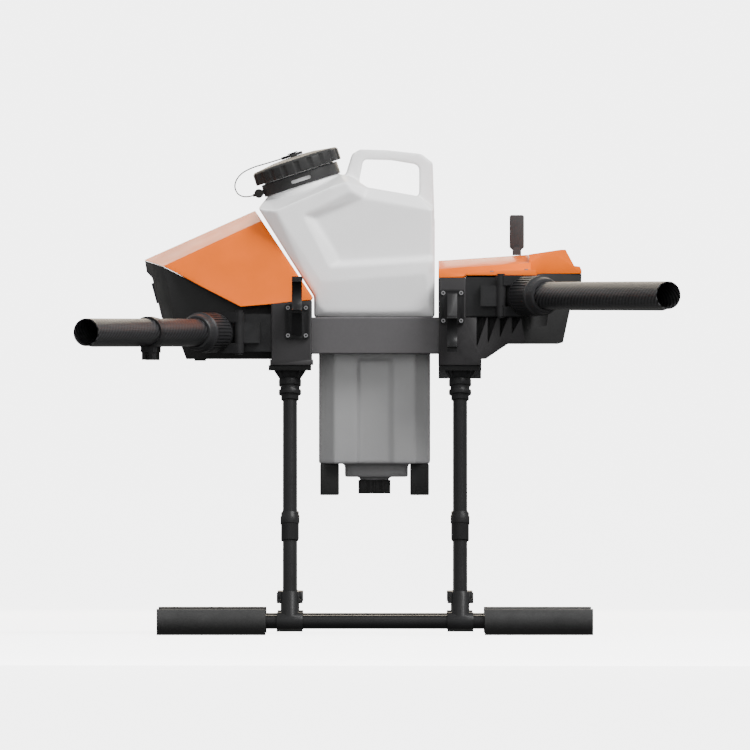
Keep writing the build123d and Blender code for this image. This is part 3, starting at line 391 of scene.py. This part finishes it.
def place_piece(piece, body, slot, paint, *nodes):
    """Puts a finished piece on its body with its paint, in place of CAD nodes; the slot is not used."""
    piece.data.materials.clear()
    piece.data.materials.append(paint)
    if nodes:
        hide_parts(*nodes)
    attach(piece, body)


BODY_OF = {node: body for body, nodes in frame["record"]["behaviour"]["bodies"].items() for node in nodes}
SLOT_OF = {row["node"]: row["material_slot"] for row in frame["record"]["subparts"]}


def arm_heading(node):
    """Where an arm tube's axis passes and which way it points, from the motor mount's record."""
    name = node.replace("arm_tube_", "motor_end_")
    mount = next(row for row in frame["record"]["mounts"] if row["name"] == name)
    x, y, _ = mount["axis"]
    return tuple(mount["pos_m"]), math.atan2(y, x)


# ---------------------------------------------------------------- tank
RING_DEPTH, FACE_DEPTH, PANEL_FLOOR = 118, 132, 123.5
TANK_POINTS = {  # x, z and distance from the middle plane, for one half of the moulding
    "S0": (-91.6, 459.3, 116), "S1": (-91.6, 489, RING_DEPTH), "S2": (-172, 616.8, RING_DEPTH),
    "S3": (-161.6, 630.8, 18), "S4": (-53, 666.6, 18), "S5": (-36.5, 662, 50),
    "S6": (-14, 647, 114), "S7": (59, 634.4, 114), "S8": (80.5, 617.4, 116), "S9": (83.3, 600, RING_DEPTH),
    "R1": (83.3, 547.4, RING_DEPTH), "R2": (83.3, 540.6, 121), "R3": (83.3, 522.1, 121),
    "R4": (83.3, 477.4, 116), "S10": (83.3, 459.3, 116),
    "P1": (-147.4, 613.4, FACE_DEPTH), "T1": (-96.9, 632.8, FACE_DEPTH), "T2": (-65.8, 648.3, FACE_DEPTH),
    "T3": (-44.5, 655, 131), "B": (-36.7, 641.5, FACE_DEPTH), "A1": (-108, 607, FACE_DEPTH),
    "E": (-69.7, 531.8, FACE_DEPTH), "D": (77.9, 540.6, 131), "G": (72.1, 522.1, FACE_DEPTH),
    "P2": (-81.3, 510.4, FACE_DEPTH), "A2": (-89.1, 601.7, PANEL_FLOOR), "C": (-19.2, 631.2, PANEL_FLOOR + 1),
    "F": (79.8, 613.4, PANEL_FLOOR), "D2": (77.9, 547.4, PANEL_FLOOR), "E2": (-52.2, 540.6, PANEL_FLOOR),
    "H0": (-89.1, 491, 128.8), "H1": (-87.5, 479.4, 126.8), "H2": (-75.5, 466.8, 124.5),
    "H3": (58.5, 466.8, 122.8), "H4": (74, 477.4, 124.4),
}
TANK_FACES = (
    "S1 S2 P1 P2 H0", "S2 S3 P1", "S3 S4 T2 T1 P1", "S4 S5 T3 T2", "S5 S6 C B T3", "P1 T1 A1", "T1 T2 T3 B A1",
    "P1 A1 E P2", "P2 E D G", "A1 A2 E2 E", "A1 B C A2", "E E2 D2 D", "A2 C F D2 E2", "C S6 S7 S8 F",
    "F S8 S9 R1 D2", "D2 R1 R2 D", "D R2 R3 G", "G R3 R4 H4", "H4 R4 S10 H3", "P2 G H4 H3 H2 H1 H0",
    "H0 H1 S0 S1", "H1 H2 S0", "H2 H3 S10 S0",
)
TANK_RING = "S0 S1 S2 S3 S4 S5 S6 S7 S8 S9 R1 R2 R3 R4 S10".split()
HANDLE_OUTER = [(-50, 652), (-36.5, 696), (-24.7, 702.6), (14.6, 701.4), (63.6, 696), (80.5, 683.4), (83, 606)]
HANDLE_INNER = [(-28, 648), (-20.5, 686), (-17.3, 688), (20, 687), (56, 681), (60.8, 675.8), (60.8, 620)]
NECK_FOOT = Vector((-113.7, 0, 669.2))
NECK_AXIS = Vector((-math.sin(math.radians(18)), 0, math.cos(math.radians(18))))


def closed_mesh(name, points, faces):
    """A mesh object from points in millimetres, its faces turned outwards."""
    mesh = bpy.data.meshes.new(name)
    mesh.from_pydata([[value * MM for value in point] for point in points], [], faces)
    cage = bmesh.new()
    cage.from_mesh(mesh)
    bmesh.ops.recalc_face_normals(cage, faces=cage.faces)
    cage.to_mesh(mesh)
    cage.free()
    return make_object(name, mesh)


def mirrored_cage(name, points, faces, ring):
    """The half given by points and faces, its mirror image, and a band between their rings."""
    names = list(points)
    left = [(x, -depth, z) for x, z, depth in points.values()]
    right = [(x, depth, z) for x, z, depth in points.values()]
    count = len(names)
    made = []
    for face in faces:
        corners = [names.index(point) for point in face.split()]
        made.append(corners)
        made.append([count + corner for corner in corners])
    for here, there in zip(ring, ring[1:] + ring[:1]):
        a, b = names.index(here), names.index(there)
        made.append([a, b, count + b, count + a])
    return closed_mesh(name, left + right, made)


def prism(name, outline, low, high):
    """An outline in plan pulled up between two heights."""
    count = len(outline)
    points = [(x, y, z) for z in (low, high) for x, y in outline]
    sides = [[i, (i + 1) % count, count + (i + 1) % count, count + i] for i in range(count)]
    return closed_mesh(name, points, [list(range(count)), list(range(count, 2 * count)), *sides])


def bent_bar(name, outer, inner, half):
    """A flat bar that runs between two lines in the side view."""
    count = len(outer)
    points = [(x, y, z) for y in (-half, half) for line in (outer, inner) for x, z in line]
    faces = []
    for i in range(count - 1):
        a, b, c, d = i, i + 1, count + i + 1, count + i
        far = 2 * count
        faces += [[a, b, c, d], [far + a, far + b, far + c, far + d], [a, b, far + b, far + a],
                  [d, c, far + c, far + d]]
    for i in (0, count - 1):
        faces.append([i, count + i, 3 * count + i, 2 * count + i])
    return closed_mesh(name, points, faces)


def round_bar(name, start, end, start_radius, end_radius, sides=64):
    """A straight round bar or cone between two points, in millimetres."""
    mesh = bpy.data.meshes.new(name)
    cage = bmesh.new()
    axis = Vector(end) - Vector(start)
    middle = Matrix.Translation((Vector(start) + Vector(end)) * 0.5 * MM)
    turn = middle @ axis.to_track_quat("Z", "Y").to_matrix().to_4x4()
    bmesh.ops.create_cone(cage, cap_ends=True, segments=sides, radius1=start_radius * MM, radius2=end_radius * MM,
                          depth=axis.length * MM, matrix=turn)
    cage.to_mesh(mesh)
    cage.free()
    return make_object(name, mesh)


def joined(name, pieces):
    """One object out of several meshes."""
    cage = bmesh.new()
    for piece in pieces:
        cage.from_mesh(piece.data)
        bpy.data.objects.remove(piece)
    mesh = bpy.data.meshes.new(name)
    cage.to_mesh(mesh)
    cage.free()
    return make_object(name, mesh)


def bin_outline(channel):
    """The bin below the beams in plan, with or without its side channels."""
    side = [(-84.5, 89), (-62.2, 111), (-29, 111)]
    side += [(-25, channel), (16.6, channel), (24.5, 111)]
    side += [(54.6, 111), (76.8, 89)]
    return [(x, -y) for x, y in side] + [(x, y) for x, y in reversed(side)]


def blown_tank():
    """The tank as one soft-edged hollow moulding, open at the spout."""
    sump = [(-46.9, -46), (44.6, -46), (44.6, 46), (-46.9, 46)]
    solids = [
        mirrored_cage("body", TANK_POINTS, TANK_FACES, TANK_RING),
        prism("bin", bin_outline(105.5), 246.9, 402),
        prism("bin_top", bin_outline(111), 398, 463),
        prism("sump", sump, 227.7, 250),
        round_bar("outlet", (-4.1, 0, 212), (-4.1, 0, 230), 20.5, 20.5),
        bent_bar("handle", HANDLE_OUTER, HANDLE_INNER, 15),
        round_bar("shoulder", NECK_FOOT - 42 * NECK_AXIS, NECK_FOOT - 19.5 * NECK_AXIS, 61, 55),
        round_bar("spout", NECK_FOOT - 30 * NECK_AXIS, NECK_FOOT + 12 * NECK_AXIS, 52.2, 52.2),
    ]
    tank = joined("tank_moulding", solids)
    skin = tank.modifiers.new("skin", "REMESH")
    skin.mode = "VOXEL"
    skin.voxel_size = 0.0022
    applied(tank)
    soft = tank.modifiers.new("soft", "SMOOTH")
    soft.factor = 0.5
    soft.iterations = 5
    applied(tank)
    cage = bmesh.new()
    cage.from_mesh(tank.data)
    mouth = []
    for vertex in cage.verts:
        offset = vertex.co / MM - NECK_FOOT
        above = offset.dot(NECK_AXIS)
        if above > 8 and (offset - above * NECK_AXIS).length < 48.5:
            mouth.append(vertex)
    bmesh.ops.delete(cage, geom=mouth, context="VERTS")
    cage.to_mesh(tank.data)
    cage.free()
    wall = tank.modifiers.new("wall", "SOLIDIFY")
    wall.thickness = 0.0028
    wall.offset = -1
    applied(tank)
    tank.data.shade_smooth()
    return tank


# ---------------------------------------------------------------- cord
TETHER_ROUTE = [  # x and z of the cord's control points, from the lid's loop to the knob on the neck
    (-139.0, 688.9), (-159.0, 682.6), (-180.0, 676.9), (-198.6, 667.4), (-207.8, 652.0), (-203.4, 637.6),
    (-190.5, 632.6), (-180.2, 635.6),
]
TETHER_LENGTH, TETHER_DIAMETER = 0.1187, 0.0019


def add_tether(paint):
    """The cord that keeps the lid: it goes from the swivel on the lid to the knob on the neck ring."""
    data = bpy.data.curves.new("tether_line", "CURVE")
    data.dimensions = "3D"
    data.bevel_depth = TETHER_DIAMETER / 2
    data.bevel_resolution = 5
    data.resolution_u = 24
    data.use_fill_caps = True
    line = data.splines.new("NURBS")
    line.points.add(len(TETHER_ROUTE) - 1)
    for point, (x, z) in zip(line.points, TETHER_ROUTE):
        point.co = (x * MM, 0, z * MM, 1)
    line.order_u = 3
    line.use_endpoint_u = True
    cord = bpy.data.objects.new("tether_cord_line", data)
    SCENE.collection.objects.link(cord)
    place_piece(cord, "lid_swivel", "tether_cord", paint, "tether")


# ---------------------------------------------------------------- front cover
COVER_EDGE = [(-309.4, 532.6), (-197.4, 475.3), (-95.9, 483.6)]  # lower edge in the side view
FLARE_REACH, FLARE_OUT = 44.0, 7.5


def smooth_step(low, high, value):
    t = min(1.0, max(0.0, (value - low) / (high - low)))
    return t * t * (3 - 2 * t)


def above_edge(x, z):
    """The shortest distance from a point in the side view to the cover's lower edge."""
    point = Vector((x, z))
    gaps = []
    for start, end in zip(COVER_EDGE, COVER_EDGE[1:]):
        start, run = Vector(start), Vector(end) - Vector(start)
        t = min(1.0, max(0.0, (point - start).dot(run) / run.length_squared))
        gaps.append((point - start - t * run).length)
    return min(gaps)


def flared_cover(piece):
    """Turns the flanks of the front cover outwards towards their lower edge."""
    cage = bmesh.new()
    cage.from_mesh(piece.data)
    for _ in range(6):
        bmesh.ops.triangulate(cage, faces=cage.faces, quad_method="BEAUTY", ngon_method="BEAUTY")
        long = [edge for edge in cage.edges if edge.calc_length() > 0.009]
        if not long:
            break
        bmesh.ops.subdivide_edges(cage, edges=long, cuts=1)
    bmesh.ops.triangulate(cage, faces=cage.faces, quad_method="BEAUTY", ngon_method="BEAUTY")
    for vertex in cage.verts:
        x, y, z = vertex.co / MM
        gap = above_edge(x, z)
        if abs(y) < 90 or gap > FLARE_REACH:
            continue
        share = smooth_step(-300, -250, x) * (1 - smooth_step(-165, -112, x))
        out = FLARE_OUT * share * (1 - gap / FLARE_REACH) ** 2
        vertex.co.y += math.copysign(out, y) * MM
        vertex.co.z -= 0.15 * out * MM
    cage.to_mesh(piece.data)
    cage.free()
    smooth_by_angle(piece, 20)


# ---------------------------------------------------------------- rear shell
PANEL = [(213, 466), (222, 466), (247.5, 466), (245, 447), (222, 442.5), (216, 442.5)]  # x and z
PANEL_DEPTH = 1.6
FLANK_Y, CREASE_X, FLANK_SLOPE = 122, 222, 20 / 30  # the flank slants inwards behind the crease


def dished(piece):
    """Presses a shallow panel into both flanks of the rear shell, across their crease."""
    count = len(PANEL)
    walls = [(i, i + count, (i + 1) % count + count, (i + 1) % count) for i in range(count)]
    faces = [(0, 1, 4, 5), (1, 2, 3, 4), (11, 10, 7, 6), (10, 9, 8, 7), *walls]
    for sign in (-1, 1):
        points = []
        for lift in (2.0, -PANEL_DEPTH):
            for x, z in PANEL:
                flank = FLANK_Y - max(0, x - CREASE_X) * FLANK_SLOPE
                points.append((x, sign * (flank + lift), z))
        cutter = closed_mesh("panel_cutter", points, faces)
        cut = piece.modifiers.new("panel", "BOOLEAN")
        cut.operation = "DIFFERENCE"
        cut.solver = "EXACT"
        cut.object = cutter
        applied(piece)
        bpy.data.objects.remove(cutter)
    smooth_by_angle(piece)


# ---------------------------------------------------------------- finish
MATERIALS = make_materials()
add_camera()
add_tether(MATERIALS["tether_cord"])
add_light("key", (2.4, -2.2, 4.0), (2.4, 2.2), 400)
add_light("front", (-0.6, -5.0, 1.2), (4.0, 2.5), 130, mirrored=False)
add_light("back", (0, 4.6, 1.9), (5.5, 2.2), 170, tint=(1, 0.86, 0.66))
add_stage()

SOFTENED = {
    "front_cover": 0.0012, "rear_cover": 0.001, "front_shell": 0.0012, "rear_shell": 0.0012,
    "brackets": 0.001, "arm_clips": 0.0008, "skid_tees": 0.0012, "leg_sockets": 0.0007,
    "tank_feet": 0.0015, "lid": 0.0012, "antenna_paddle": 0.0014, "pump_housing": 0.001,
    "leg_nuts": 0.0008, "leg_sleeves": 0.0008, "neck_ring": 0.0006, "drain_cap": 0.001,
}
place_piece(blown_tank(), "tank", "tank_polyethylene", MATERIALS["tank_polyethylene"],
            "tank_upper", "tank_lower", "tank_neck", "tank_handle")
TANK_NODES = {"tank_upper", "tank_lower", "tank_neck", "tank_handle"}
for node, width in SOFTENED.items():
    piece = softened(node, width)
    if node == "front_cover":
        flared_cover(piece)
    if node == "rear_shell":
        dished(piece)
    place_piece(piece, BODY_OF[node], SLOT_OF[node], MATERIALS[SLOT_OF[node]], node)

for node, item in frame["nodes"].items():
    if node in SOFTENED or node in TANK_NODES or node == "tether":
        continue
    slot = SLOT_OF[node]
    if slot == "carbon_arm":
        paint = carbon(f"carbon_{node}", *arm_heading(node))
    elif node == "clip_screws":
        paint = socket_screw("socket_screw")
    else:
        paint = MATERIALS[slot]
    item.data.materials.clear()
    item.data.materials.append(paint)
